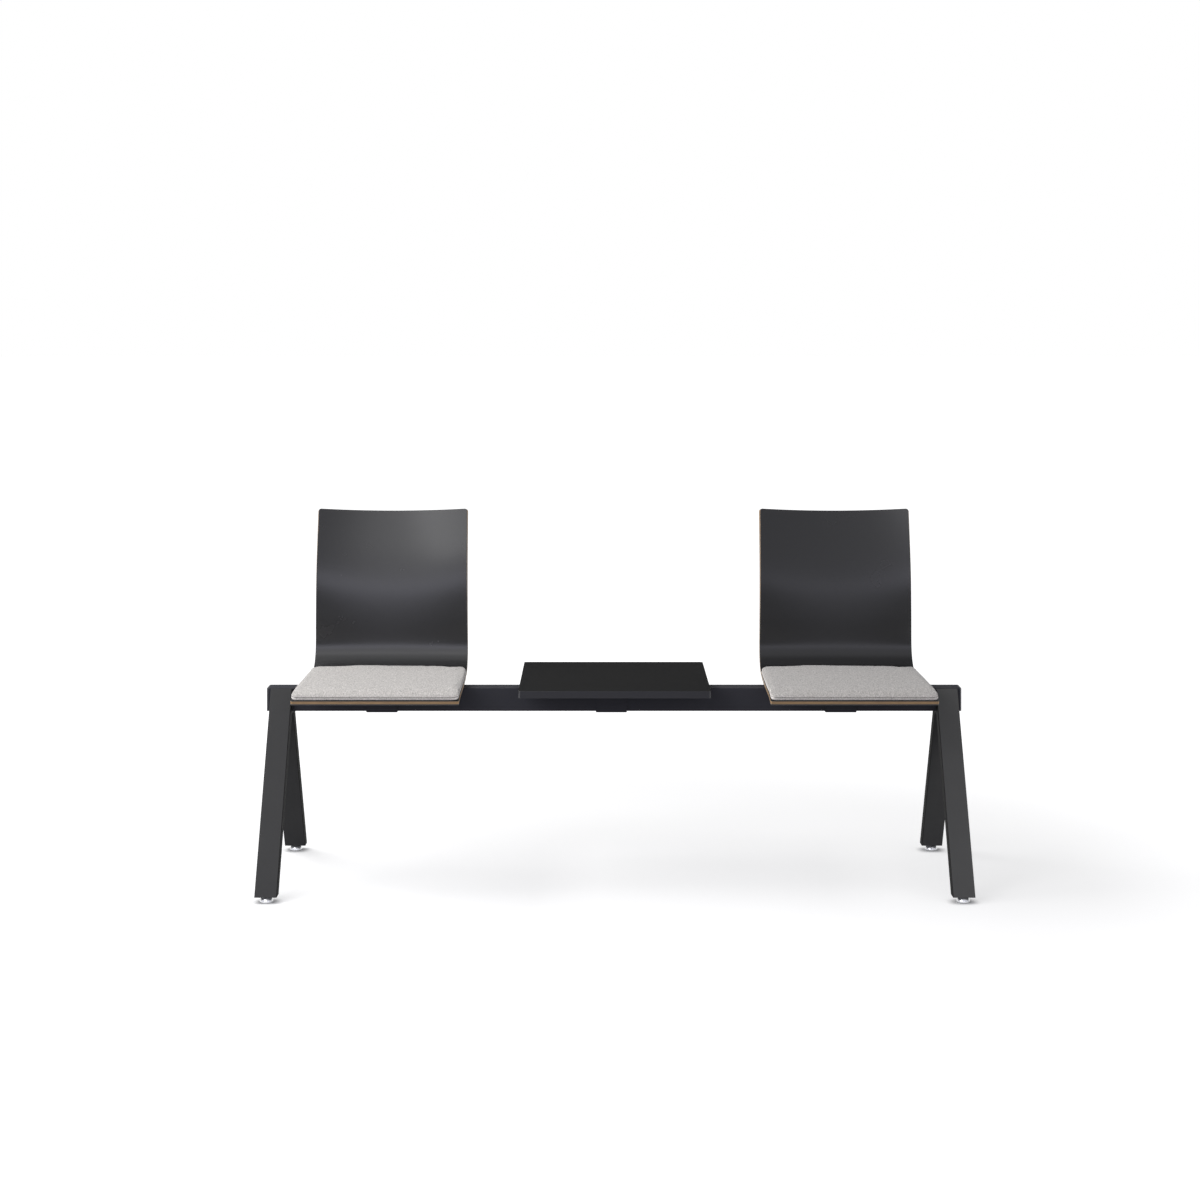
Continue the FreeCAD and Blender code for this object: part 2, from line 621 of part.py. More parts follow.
def make_saddle(label, x):
    """The folded strap under the beam, with a flange in front and one behind."""
    body = new_body(label, x=x)
    sketch = new_sketch(body, "YZ_Plane")
    end, side, inner = "(saddle_side + saddle_flange)", "saddle_side", "beam_depth / 2"
    floor = "(beam_floor - saddle_sheet)"
    trace(sketch, [
        (f"-{end}", "flange_floor"),
        (f"-{side}", "flange_floor"),
        (f"-{side}", f"{floor} + saddle_bend", "saddle_bend", 1),
        (f"-{side} + saddle_bend", floor),
        (f"{side} - saddle_bend", floor, "saddle_bend", 1),
        (side, f"{floor} + saddle_bend"),
        (side, "flange_floor"),
        (end, "flange_floor"),
        (end, "flange_top"),
        (inner, "flange_top"),
        (inner, "beam_floor"),
        (f"-{inner}", "beam_floor"),
        (f"-{inner}", "flange_top"),
        (f"-{end}", "flange_top"),
    ])
    pad(body, sketch, "saddle_width")
    drill_clamp_holes(body, "flange_top")


def drill_clamp_holes(body, level, shift="0"):
    """The four holes of the clamp bolts, right through a piece."""
    holes = new_sketch(body, "XY_Plane", level)
    for i in (-1, 1):
        for j in (-1, 1):
            round_hole(holes, f"{shift} + {i} * clamp_bolt_spread / 2", f"{j} * clamp_row",
                       "clamp_bolt + 2 * hole_gap")
    pocket(body, holes)


def make_carrier(label, x):
    """The plate between the beam and a seat or the table, folded down in front and behind."""
    body = new_body(label, x=x)
    sketch = new_sketch(body, "YZ_Plane")
    side, inner = "carrier_depth / 2", "(carrier_depth / 2 - carrier_sheet)"
    low = "carrier_top - carrier_fold"
    trace(sketch, [
        (f"-{side}", low),
        (f"-{inner}", low),
        (f"-{inner}", "beam_top"),
        (inner, "beam_top"),
        (inner, low),
        (side, low),
        (side, "carrier_top"),
        (f"-{side}", "carrier_top"),
    ])
    pad(body, sketch, "carrier_length")
    drill_clamp_holes(body, "carrier_top", "clamp_shift")
    holes = new_sketch(body, "XY_Plane", "carrier_top")
    for i in (-1, 1):
        for j in (-1, 1):
            round_hole(holes, f"{i} * fixing_spread / 2", f"{j} * fixing_rows / 2",
                       "fixing_screw + 2 * hole_gap")
    pocket(body, holes)


def make_clamp(place, x):
    """Everything that holds one seat or the table to the beam."""
    clamp = f"({x} + clamp_shift)"
    make_saddle(f"{place}_saddle", clamp)
    make_carrier(f"{place}_carrier", x)
    bolts, nuts = [], []
    for number, (bolt_x, bolt_y) in enumerate(grid(clamp, "clamp_bolt_spread", "2 * clamp_row"), 1):
        name = f"{place}_clamp_{number}"
        tip = "carrier_top + clamp_nut_height + clamp_tip"
        head = hex_bar(name + "_head", bolt_x, bolt_y, "flange_floor - clamp_head_height", "flange_floor",
                       "clamp_head")
        shank = rod(name + "_shank", bolt_x, bolt_y, "flange_floor", tip, "clamp_bolt")
        bolts.append(joined(name + "_bolt", [head, shank]))
        blank = hex_bar(name + "_blank", bolt_x, bolt_y, "carrier_top", "carrier_top + clamp_nut_height",
                        "clamp_nut")
        bore = rod(name + "_bore", bolt_x, bolt_y, "carrier_top", "carrier_top + clamp_nut_height",
                   "clamp_bolt + 2 * thread_gap")
        nuts.append(drilled(name + "_nut", blank, bore))
    group(f"{place}_clamp_bolts", bolts)
    group(f"{place}_clamp_nuts", nuts)
    spacers, screws, inserts = [], [], []
    for number, (screw_x, screw_y) in enumerate(grid(x, "fixing_spread", "fixing_rows"), 1):
        name = f"{place}_fixing_{number}"
        spacer_top = "deck - spacer_gap"
        blank = rod(name + "_ring", screw_x, screw_y, "carrier_top", spacer_top, "spacer_width")
        bore = rod(name + "_way", screw_x, screw_y, "carrier_top", spacer_top, "fixing_screw + 2 * hole_gap")
        spacers.append(drilled(name + "_spacer", blank, bore))
        head = rod(name + "_head", screw_x, screw_y, "beam_top - fixing_head_height", "beam_top", "fixing_head")
        shank = rod(name + "_shank", screw_x, screw_y, "beam_top", "deck + fixing_grip", "fixing_screw")
        screws.append(joined(name + "_screw", [head, shank]))
        sleeve = rod(name + "_sleeve", screw_x, screw_y, "deck", "deck + insert_depth", "insert_width")
        thread = rod(name + "_thread", screw_x, screw_y, "deck", "deck + insert_depth",
                     "fixing_screw + 2 * thread_gap")
        inserts.append(drilled(name + "_insert", sleeve, thread))
    group(f"{place}_spacers", spacers)
    group(f"{place}_screws", screws)
    group(f"{place}_inserts", inserts)


def drill_insert_holes(body):
    """Four blind holes in the underside for the threaded inserts."""
    holes = new_sketch(body, "XY_Plane", "deck")
    for i in (-1, 1):
        for j in (-1, 1):
            round_hole(holes, f"{i} * fixing_spread / 2", f"{j} * fixing_rows / 2",
                       "insert_width + 2 * thread_gap")
    pocket(body, holes, "insert_hole", "One side", reverse=True)


def shell_section(body, line, lift):
    """A lengthwise section of a shell: the sitter's side from the front edge up, then the far side back."""
    low, waist, top = (f"{line}_lean_{part}" for part in ("low", "waist", "top"))
    wall = "shell_thickness"
    nose_y = "nose_start - {} * sin(nose_turn)"
    nose_z = "seat_top - nose_radius + {} * cos(nose_turn)"
    under_nose = "(nose_radius - shell_thickness)"

    def far(y, z, lean):
        return f"{y} + {wall} * cos({lean})", f"{z} - {wall} * sin({lean})"

    low_far = far(f"{line}_low_y", f"{line}_low_z", low)
    waist_far = far(f"{line}_waist_y", "waist", waist)
    upper_far = far(f"{line}_upper_y", "upper", top)
    top_far = far(f"{line}_top_y", f"{line}_top", top)
    sketch = new_sketch(body, "YZ_Plane", lift)
    trace(sketch, [
        (nose_y.format("nose_radius"), nose_z.format("nose_radius"), "nose_radius", -1),
        ("nose_start", "seat_top"),
        (f"{line}_bend", "seat_top", "bend_radius", 1),
        (f"{line}_low_y", f"{line}_low_z", f"{line}_low_radius", -1),
        (f"{line}_waist_y", "waist", f"{line}_upper_radius", -1),
        (f"{line}_upper_y", "upper"),
        (f"{line}_top_y", f"{line}_top"),
        top_far,
        (*upper_far, f"{line}_upper_radius - {wall}", 1),
        (*waist_far, f"{line}_low_radius - {wall}", 1),
        (*low_far, f"bend_radius + {wall}", -1),
        (f"{line}_bend", "deck"),
        ("nose_start", "deck", under_nose, 1),
        (nose_y.format(under_nose), nose_z.format(under_nose)),
    ])
    return sketch


def make_shell(side, sign):
    """A one-piece plywood shell, dished across the back and trimmed to its tapering outline."""
    body = new_body(f"seat_shell_{side}", x=f"{sign} * seat_pitch")
    half = "front_width / 2"
    sections = [shell_section(body, line, lift) for line, lift in
                (("rim", f"-{half}"), ("mid", "0"), ("rim", half))]
    loft = body.newObject("PartDesign::AdditiveLoft", body.Name + "_loft")
    loft.Profile = sections[0]
    loft.Sections = [(section, [""]) for section in sections[1:]]
    far = "(front_width / 2 + cut_over)"

    plan = new_sketch(body, "XY_Plane")
    rear = "mid_top_y + 2 * cut_over"
    trace(plan, [(f"-{far}", "-seat_front - cut_over"), (far, "-seat_front - cut_over"),
                 (far, f"{rear} + cut_over"), (f"-{far}", f"{rear} + cut_over")])
    wide, narrow, nook = "front_width / 2", "bend_width / 2", "front_corner"
    trace(plan, [
        (f"-{wide} + {nook}", "-seat_front"),
        (f"{wide} - {nook}", "-seat_front", nook, 1),
        (wide, f"-seat_front + {nook}"),
        (narrow, "bend_start"),
        (narrow, rear),
        (f"-{narrow}", rear),
        (f"-{narrow}", "bend_start"),
        (f"-{wide}", f"-seat_front + {nook}", nook, 1),
    ])
    pocket(body, plan)

    front_view = new_sketch(body, "XZ_Plane")
    step, roof = "seat_top + pad_gap", "rim_top + cut_over"
    top, curl = "top_width / 2", "top_corner"
    trace(front_view, [
        (far, step),
        (far, roof),
        (f"-{far}", roof),
        (f"-{far}", step),
        (f"-{narrow}", step),
        (f"-{top}", f"rim_top - {curl}", curl, -1),
        (f"-{top} + {curl}", "rim_top"),
        (f"{top} - {curl}", "rim_top", curl, -1),
        (top, f"rim_top - {curl}"),
        (narrow, step),
    ])
    pocket(body, front_view)
    drill_insert_holes(body)


def make_seat_pad(side, sign):
    """A thin crowned pad that follows the seat over its front edge and ends at the bend."""
    body = new_body(f"seat_pad_{side}", x=f"{sign} * seat_pitch")
    profile = new_sketch(body, "YZ_Plane")
    over_y = "nose_start - {} * sin({})"
    over_z = "seat_top - nose_radius + {} * cos({})"
    edge_radius = "(pad_over - pad_edge)"
    trace(profile, [
        (over_y.format("pad_under", "pad_turn"), over_z.format("pad_under", "pad_turn"), "pad_under", -1),
        ("nose_start", "pad_floor"),
        ("bend_start", "pad_floor", "bend_radius - pad_gap", 1),
        ("pad_end", "seat_top + pad_lift"),
        ("pad_end", "pad_crest - pad_edge", "pad_edge", 1),
        ("pad_end - pad_edge", "pad_crest"),
        ("nose_start", "pad_crest", "pad_over", 1),
        (over_y.format("pad_over", "pad_over_turn"), over_z.format("pad_over", "pad_over_turn"), "pad_edge", 1),
        (over_y.format(edge_radius, "pad_turn"), over_z.format(edge_radius, "pad_turn")),
    ])
    pad(body, profile, "2 * pad_side")

    far = "(pad_side + cut_over)"
    plan = new_sketch(body, "XY_Plane")
    trace(plan, [(f"-{far}", "pad_front - cut_over"), (far, "pad_front - cut_over"),
                 (far, "pad_end + cut_over"), (f"-{far}", "pad_end + cut_over")])
    trace(plan, [
        ("-pad_side + pad_corner", "pad_front"),
        ("pad_side - pad_corner", "pad_front", "pad_corner", 1),
        ("pad_side", "pad_front + pad_corner", "pad_side_bow", -1),
        ("pad_side_rear", "pad_rear - pad_corner", "pad_corner", 1),
        ("pad_side_rear - pad_corner", "pad_rear", "pad_rear_bow", 1),
        ("-pad_side_rear + pad_corner", "pad_rear", "pad_corner", 1),
        ("-pad_side_rear", "pad_rear - pad_corner", "pad_side_bow", -1),
        ("-pad_side", "pad_front + pad_corner", "pad_corner", 1),
    ])
    pocket(body, plan)

    crown = new_sketch(body, "XZ_Plane")
    low, high = "pad_floor - cut_over", "pad_crest + cut_over"
    trace(crown, [(f"-{far}", low), (far, low), (far, high), (f"-{far}", high)])
    trace(crown, [
        ("-pad_side", f"{low} + pad_edge"),
        ("pad_side", f"{low} + pad_edge"),
        ("pad_side", "pad_top - pad_edge", "pad_edge", 1),
        ("pad_flat", "pad_top", "pad_crown_bow", 1),
        ("-pad_flat", "pad_top", "pad_edge", 1),
        ("-pad_side", "pad_top - pad_edge"),
    ])
    pocket(body, crown)


def make_table_top():
    """The table board, its corners rounded and its edges broken."""
    body = new_body("table_top")
    sketch = new_sketch(body, "XY_Plane", "deck")
    round_box(sketch, "0", "table_width", "table_depth", "table_corner")
    pad(body, sketch, "table_thickness", "One side")
    levels = [measure("deck"), measure("deck + table_thickness")]

    def on_a_face(edge):
        heights = {round(vertex.Z, 3) for vertex in edge.Vertexes}
        return len(heights) == 1 and any(abs(heights.copy().pop() - level) < 0.01 for level in levels)

    edge_feature(body, "PartDesign::Chamfer", "Size", "table_edge", on_a_face)
    drill_insert_holes(body)


def write_parts():
    """Checks every object, then writes each sub-part to its own file."""
    doc.recompute()
    for item in doc.Objects:
        if {"Invalid", "Error"} & set(item.State):
            raise RuntimeError(f"{item.Name} is {item.State}")
    for node in nodes:
        if node.Shape.isNull() or not node.Shape.isValid() or not node.Shape.Solids:
            raise RuntimeError(f"{node.Label} is not a valid solid")
    os.makedirs("parts", exist_ok=True)
    for node in nodes:
        node.Shape.exportStep(f"parts/{node.Label}.step")


def main():
    fill_sheets()
    make_beam()
    for side, sign in SIDES.items():
        make_end_cap(side, sign)
        make_leg_frame(side, sign)
        make_clamp(f"seat_{side}", f"{sign} * seat_pitch")
        make_shell(side, sign)
        make_seat_pad(side, sign)
    make_clamp("table", "0")
    make_table_top()
    write_parts()


main()
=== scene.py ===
"""Dresses the beam bench: plywood shells, felt pads, black steel and a white studio.

Metres, +Z up, the sitter faces -Y. Left and right are as seen from the front.
"""

import json
import math

import bmesh
import bpy
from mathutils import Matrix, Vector
from mathutils.bvhtree import BVHTree
from mathutils.kdtree import KDTree


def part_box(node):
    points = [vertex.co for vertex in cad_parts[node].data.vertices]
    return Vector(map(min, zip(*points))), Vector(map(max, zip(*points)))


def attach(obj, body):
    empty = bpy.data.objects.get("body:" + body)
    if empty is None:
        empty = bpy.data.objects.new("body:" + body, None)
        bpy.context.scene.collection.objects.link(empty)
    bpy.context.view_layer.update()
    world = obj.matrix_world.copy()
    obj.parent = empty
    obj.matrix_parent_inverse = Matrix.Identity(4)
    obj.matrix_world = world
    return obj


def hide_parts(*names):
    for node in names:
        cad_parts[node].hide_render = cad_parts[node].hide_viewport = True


MM = 0.001
SIDES = ("left", "right")
CORNERS = ("front_left", "rear_left", "front_right", "rear_right")

# Profiles of turned pieces, (radius, height) in mm; a third value marks a ring with six flats
DOME = [(13.2, 0), (14.3, 0.4), (15.1, 1.1), (15.5, 2.2), (15.3, 4.2), (14.7, 6.2), (13.7, 8.3),
        (12.3, 10.3), (10.8, 12.0), (9.6, 13.0), (8.8, 13.5), (8.2, 13.7), (5.0, 13.7), (4.5, 13.4),
        (4.2, 12.6), (4.1, 11)]
LEG_BOLT = [(3.3, 0), (4, 0.8), (4, 57), (6.8, 57), (7, 57.2), (7, 58.4), (6.7, 59.5), (6.1, 60.4),
            (5.2, 61.1), (4.1, 61.5), (2.7, 61.5, 6), (2.5, 61.3, 6), (2.5, 58.9, 6), (1.2, 58.4)]
BOLT_HEAD = 7 * MM  # its radius
MERGE_GAP = 0.02 * MM

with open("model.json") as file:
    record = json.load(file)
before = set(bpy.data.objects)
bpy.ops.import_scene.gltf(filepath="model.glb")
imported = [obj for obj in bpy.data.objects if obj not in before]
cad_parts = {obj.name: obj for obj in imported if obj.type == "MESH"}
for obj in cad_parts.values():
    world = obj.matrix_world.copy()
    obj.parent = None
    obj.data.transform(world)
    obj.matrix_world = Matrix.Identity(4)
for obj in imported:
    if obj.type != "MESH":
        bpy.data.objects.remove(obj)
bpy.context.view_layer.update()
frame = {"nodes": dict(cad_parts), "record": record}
nodes = frame["nodes"]
BEAM_Y = sum(corner.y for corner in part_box("beam")) / 2


# Working by hand: picking, shaping and finishing a mesh

def clear_selection():
    if bpy.context.object and bpy.context.object.mode != "OBJECT":
        bpy.ops.object.mode_set(mode="OBJECT")
    bpy.ops.object.select_all(action="DESELECT")


def take(piece):
    """Makes a piece the only one selected."""
    clear_selection()
    bpy.context.view_layer.objects.active = piece
    piece.select_set(True)


def edit(piece, kind="VERT"):
    """Opens a piece in edit mode with nothing selected and gives its mesh."""
    take(piece)
    bpy.ops.object.mode_set(mode="EDIT")
    bpy.ops.mesh.select_mode(type=kind)
    bpy.ops.mesh.select_all(action="DESELECT")
    return bmesh.from_edit_mesh(piece.data)


def pick(piece, mesh, elements, chosen):
    """Selects the vertices, edges or faces that chosen accepts."""
    for element in elements:
        element.select_set(chosen(element))
    mesh.select_flush_mode()
    bmesh.update_edit_mesh(piece.data)


def done():
    bpy.ops.object.mode_set(mode="OBJECT")


def named(name):
    piece = bpy.context.object
    piece.name = name
    piece.data.name = name
    return piece


def modify(piece, kind, **values):
    """Adds a modifier and applies it."""
    take(piece)
    modifier = piece.modifiers.new(kind.title(), kind)
    for key, value in values.items():
        setattr(modifier, key, value)
    bpy.ops.object.modifier_apply(modifier=modifier.name)


def settle(piece):
    """Puts the place of a piece into its mesh, so that its object sits at the origin."""
    take(piece)
    bpy.ops.object.transform_apply(location=True, rotation=True, scale=True)


def smooth(piece, degrees):
    take(piece)
    bpy.ops.object.shade_smooth_by_angle(angle=math.radians(degrees))


def face_outwards(piece):
    """Merges doubles and turns every face outwards."""
    edit(piece)
    bpy.ops.mesh.select_all(action="SELECT")
    bpy.ops.mesh.remove_doubles(threshold=MERGE_GAP)
    bpy.ops.mesh.normals_make_consistent(inside=False)
    done()


def copy_of(piece, name):
    twin = piece.copy()
    twin.data = piece.data.copy()
    twin.name = name
    twin.data.name = name
    bpy.context.scene.collection.objects.link(twin)
    return twin


def put(piece, place, body, node):
    """Sets a finished piece at its place and ties it to its body and the node that it stands for."""
    piece.location = place
    settle(piece)
    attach(piece, body)
    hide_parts(node)


def middle_of(node):
    """How far to the side of the bench's middle a node stands."""
    low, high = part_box(node)
    return (low.x + high.x) / 2, 0, 0


def paint(piece, *materials):
    piece.data.materials.clear()
    for material in materials:
        piece.data.materials.append(material)


# Materials

def srgb(red, green, blue):
    """A colour as seen on screen, 0 to 255, as the linear value that a shader takes."""
    linear = []
    for level in (red, green, blue):
        share = level / 255
        linear.append(share / 12.92 if share <= 0.04045 else ((share + 0.055) / 1.055) ** 2.4)
    return (*linear, 1)


class Finish:
    """A material with its shader, and short ways to add nodes and feed the shader."""

    def __init__(self, name, **sockets):
        self.material = bpy.data.materials.new(name)
        self.material.use_nodes = True
        self.tree = self.material.node_tree
        self.shader = self.tree.nodes["Principled BSDF"]
        for socket, value in sockets.items():
            self.shader.inputs[socket.replace("_", " ")].default_value = value

    def add(self, kind, **values):
        return add_node(self.tree, kind, **values)

    def feed(self, **outputs):
        for socket, output in outputs.items():
            self.tree.links.new(output, self.shader.inputs[socket.replace("_", " ")])


def add_node(tree, kind, **values):
    """Adds a node. A value named for a socket is joined to it or set on it, others set the node."""
    node = tree.nodes.new("ShaderNode" + kind)
    for key, value in values.items():
        if hasattr(node, key):
            setattr(node, key, value)
        else:
            connect(tree, value, node.inputs[key.replace("_", " ")])
    return node


def connect(tree, value, socket):
    """Joins an output to a socket, or sets the socket to a plain value."""
    if isinstance(value, bpy.types.NodeSocket):
        tree.links.new(value, socket)
    else:
        socket.default_value = value


def arithmetic(tree, operation, *values):
    """A math node over outputs and plain numbers."""
    node = add_node(tree, "Math", operation=operation)
    for value, socket in zip(values, node.inputs):
        connect(tree, value, socket)
    return node.outputs[0]


def mapped(tree, value, **limits):
    """A value carried over from one range to another."""
    return add_node(tree, "MapRange", Value=value, **limits).outputs["Result"]


def scaled(tree, colour, factor):
    """A colour made lighter or darker by a factor."""
    node = add_node(tree, "VectorMath", operation="SCALE", Vector=colour, Scale=factor)
    return node.outputs["Vector"]


def stored(tree, name):
    """A value kept on the points of a mesh."""
    return add_node(tree, "Attribute", attribute_name=name).outputs["Fac"]


def new_group(name, inputs, outputs):
    """An empty node group with its named sockets."""
    group = bpy.data.node_groups.new(name, "ShaderNodeTree")
    for label, kind, value in inputs:
        socket = group.interface.new_socket(label, in_out="INPUT", socket_type=kind)
        socket.default_value = value
    for label, kind in outputs:
        group.interface.new_socket(label, in_out="OUTPUT", socket_type=kind)
    source = group.nodes.new("NodeGroupInput")
    sink = group.nodes.new("NodeGroupOutput")
    return group, source.outputs, sink.inputs


def ramp(tree, factor, *stops):
    """A colour ramp over a factor, its stops given as (place, colour)."""
    node = tree.nodes.new("ShaderNodeValToRGB")
    points = node.color_ramp.elements
    while len(points) < len(stops):
        points.new(0.5)
    for point, (place, colour) in zip(points, stops):
        point.position = place
        point.color = colour
    tree.links.new(factor, node.inputs["Fac"])
    return node.outputs["Color"]


def make_skin_group():
    """Fine pitted skin of a coated or moulded surface: a mottled colour, a roughness and a normal."""
    group, given, gives = new_group("coated_skin", [
        ("Colour", "NodeSocketColor", (0.05, 0.05, 0.05, 1)),
        ("Variation", "NodeSocketFloat", 0.12),
        ("Roughness", "NodeSocketFloat", 0.5),
        ("Grain Size", "NodeSocketFloat", 900),
        ("Grain Depth", "NodeSocketFloat", 0.1),
    ], [
        ("Colour", "NodeSocketColor"),
        ("Roughness", "NodeSocketFloat"),
        ("Normal", "NodeSocketVector"),
    ])
    place = add_node(group, "TexCoord").outputs["Object"]
    cloud = add_node(group, "TexNoise", Vector=place, Scale=14, Detail=4)
    grain = add_node(group, "TexNoise", Vector=place, Scale=given["Grain Size"], Detail=3,
                     Roughness=0.6)
    mottle = mapped(group, cloud.outputs["Fac"],
                    To_Min=arithmetic(group, "SUBTRACT", 1, given["Variation"]),
                    To_Max=arithmetic(group, "ADD", 1, given["Variation"]))
    bump = add_node(group, "Bump", Height=grain.outputs["Fac"], Strength=given["Grain Depth"],
                    Distance=0.4 * MM)
    group.links.new(scaled(group, given["Colour"], mottle), gives["Colour"])
    group.links.new(arithmetic(group, "MULTIPLY", given["Roughness"], mottle), gives["Roughness"])
    group.links.new(bump.outputs["Normal"], gives["Normal"])
    return group


COATED_SKIN = make_skin_group()


def coated(name, colour, roughness, grain_size, variation=0.08, grain_depth=0.1, **sockets):
    """A material whose colour, roughness and normal come from the coated skin."""
    finish = Finish(name, **sockets)
    skin = finish.tree.nodes.new("ShaderNodeGroup")
    skin.node_tree = COATED_SKIN
    for label, value in (("Colour", colour), ("Variation", variation), ("Roughness", roughness),
                         ("Grain Size", grain_size), ("Grain Depth", grain_depth)):
        skin.inputs[label].default_value = value
    finish.feed(Base_Color=skin.outputs["Colour"], Roughness=skin.outputs["Roughness"],
                Normal=skin.outputs["Normal"])
    return finish.material


def make_ply_edge():
    """Bare edge of the shell: laminate on each face and five plies between, with painted light on the
    sides.
    """
    finish = Finish("ply_edge", Roughness=0.5, Coat_Weight=0.15, Coat_Roughness=0.3)
    tree = finish.tree
    place = finish.add("TexCoord").outputs["Object"]
    along = finish.add("Mapping", Vector=place, Scale=(0.25, 0.25, 1))
    noise = finish.add("TexNoise", Vector=along.outputs["Vector"], Scale=160, Detail=5,
                       Roughness=0.65)
    fibre = noise.outputs["Fac"]
    waver = arithmetic(tree, "MULTIPLY_ADD", fibre, 0.03, stored(tree, "ply_depth"))
    light, dark, glue = srgb(162, 131, 91), srgb(124, 96, 63), srgb(76, 58, 42)
    laminate = srgb(40, 39, 40)
    # Shares of the thickness
    face, ply, glue_line, veneer_end = 0.14, 0.115, 0.012, 0.098
    stops = [(0, laminate), (face - 0.01, laminate)]
    for number in range(5):
        start = face + number * ply
        veneer = dark if number % 2 else light
        stops += [(start, glue), (start + glue_line, veneer), (start + veneer_end, veneer)]
    stops += [(face + 5 * ply, glue), (face + 5 * ply + 0.015, laminate)]
    pores = ramp(tree, fibre, (0.3, (0.72, 0.7, 0.66, 1)), (0.65, (1.1, 1.08, 1.05, 1)))
    wood = finish.add("Mix", data_type="RGBA", blend_type="MULTIPLY",
                      A=ramp(tree, waver, *stops), B=pores, Factor=0.8)
    # Painted light: the edges that face sideways are lightened up to 1.6 times
    painted_side_light = mapped(tree, stored(tree, "ply_painted_side_light"), To_Min=1, To_Max=1.6)
    bump = finish.add("Bump", Height=fibre, Strength=0.25, Distance=0.3 * MM)
    finish.feed(Base_Color=scaled(tree, wood.outputs["Result"], painted_side_light), Normal=bump.outputs["Normal"])
    return finish.material


def make_felt():
    """Pressed wool cloth: light and dark flecks, a nap, a painted seam shadow and painted light on the
    border.
    """
    finish = Finish("pad_felt", Roughness=0.95, Sheen_Weight=0.25, Sheen_Roughness=0.6)
    tree = finish.tree
    place = finish.add("TexCoord").outputs["Object"]
    flecks = []
    for turn, size in ((25, 340), (115, 390), (70, 540)):
        lay = finish.add("Mapping", Vector=place, Rotation=(0, 0, math.radians(turn)),
                         Scale=(1, 0.28, 1))
        fleck = finish.add("TexNoise", Vector=lay.outputs["Vector"], Scale=size, Detail=3,
                           Roughness=0.6)
        flecks.append(fleck.outputs["Fac"])
    crossed = arithmetic(tree, "ADD", flecks[0], flecks[1])
    fine = arithmetic(tree, "MULTIPLY", flecks[2], 0.3)
    fibres = arithmetic(tree, "MULTIPLY_ADD", crossed, 0.35, fine)
    cloth = ramp(tree, fibres,
                 (0.37, srgb(133, 129, 124)), (0.46, srgb(170, 166, 161)),
                 (0.53, srgb(184, 180, 175)), (0.62, srgb(210, 206, 201)))
    # Painted shadow: the cloth is darkened along the sewn line, in the seam's groove
    seam = ramp(tree, stored(tree, "seam_distance"),
                (0.06, (0.36, 0.35, 0.34, 1)), (0.18, (1, 1, 1, 1)))
    sewn = finish.add("Mix", data_type="RGBA", blend_type="MULTIPLY", A=cloth, B=seam, Factor=0.75)
    # Painted light: the border is lightened up to 2.2 times, most where it faces left or right
    painted_side_light = mapped(tree, stored(tree, "felt_painted_side_light"), To_Min=1, To_Max=2.2)
    nap = finish.add("Bump", Height=fibres, Strength=0.5, Distance=0.7 * MM)
    finish.feed(Base_Color=scaled(tree, sewn.outputs["Result"], painted_side_light), Normal=nap.outputs["Normal"])
    return finish.material


POWDER_GRAIN = {"grain_size": 1400, "grain_depth": 0.12}


def make_leg_paint_with_painted_shade():
    """Powder coat of the legs, with painted shade on their inner sides, which stay in the shade of the
    bench.
    """
    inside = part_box("front_leg_right")[0].x
    material = coated("leg_powder_coat_painted_shade", srgb(67, 67, 67), 0.6, Specular_IOR_Level=0.02,
                      **POWDER_GRAIN)
    tree = material.node_tree
    place = add_node(tree, "TexCoord").outputs["Object"]
    reach = arithmetic(tree, "ABSOLUTE", add_node(tree, "SeparateXYZ", Vector=place).outputs["X"])
    # Painted shade: the coat drops to a quarter of its colour within 1.8 mm of the legs' inner faces
    shade = mapped(tree, reach, From_Min=inside + 0.2 * MM, From_Max=inside + 1.8 * MM,
                   To_Min=0.25, To_Max=1)
    base = tree.nodes["Principled BSDF"].inputs["Base Color"]
    tree.links.new(scaled(tree, base.links[0].from_socket, shade), base)
    return material


LEG_PAINT_WITH_PAINTED_SHADE = make_leg_paint_with_painted_shade()
FRAME_PAINT = coated("frame_powder_coat", srgb(66, 66, 66), 0.6, Specular_IOR_Level=0.02,
                     **POWDER_GRAIN)
# Painted shade and a painted bluish reflection: a darker, bluer copy of the frame's coat for the beam
# and saddles
BEAM_PAINT_WITH_PAINTED_SHADE = coated("beam_powder_coat_painted_shade", srgb(56, 56, 61), 0.6, Specular_IOR_Level=0.05,
                    **POWDER_GRAIN)
LAMINATE = coated("shell_laminate", srgb(35, 35, 36), 0.27, variation=0.04, grain_size=2200,
                  grain_depth=0.015)
BOARD = coated("table_laminate", srgb(38, 38, 38), 0.8, variation=0.05, grain_size=1800,
               grain_depth=0.05, Specular_IOR_Level=0.02)
BOARD_EDGE = coated("table_edge_band", srgb(51, 51, 55), 0.12, variation=0.05, grain_size=1200,
                    grain_depth=0.02)
PLASTIC = coated("black_plastic", srgb(98, 98, 99), 0.45, grain_size=700, grain_depth=0.08,
                 Specular_IOR_Level=0.3)
DARK_ZINC = coated("black_zinc", srgb(52, 52, 54), 0.35, grain_size=1500, Metallic=0.8)
ZINC = coated("bright_zinc", srgb(176, 176, 174), 0.3, grain_size=1500, Metallic=1.0)
CHROME = coated("polished_chrome", srgb(238, 239, 240), 0.08, variation=0.03, grain_size=600,
                grain_depth=0.01, Metallic=0.75)
PLY_EDGE = make_ply_edge()
FELT = make_felt()


# Plywood shells. The sizes from SEAT on are in mm, y from the beam's middle and z from the floor.

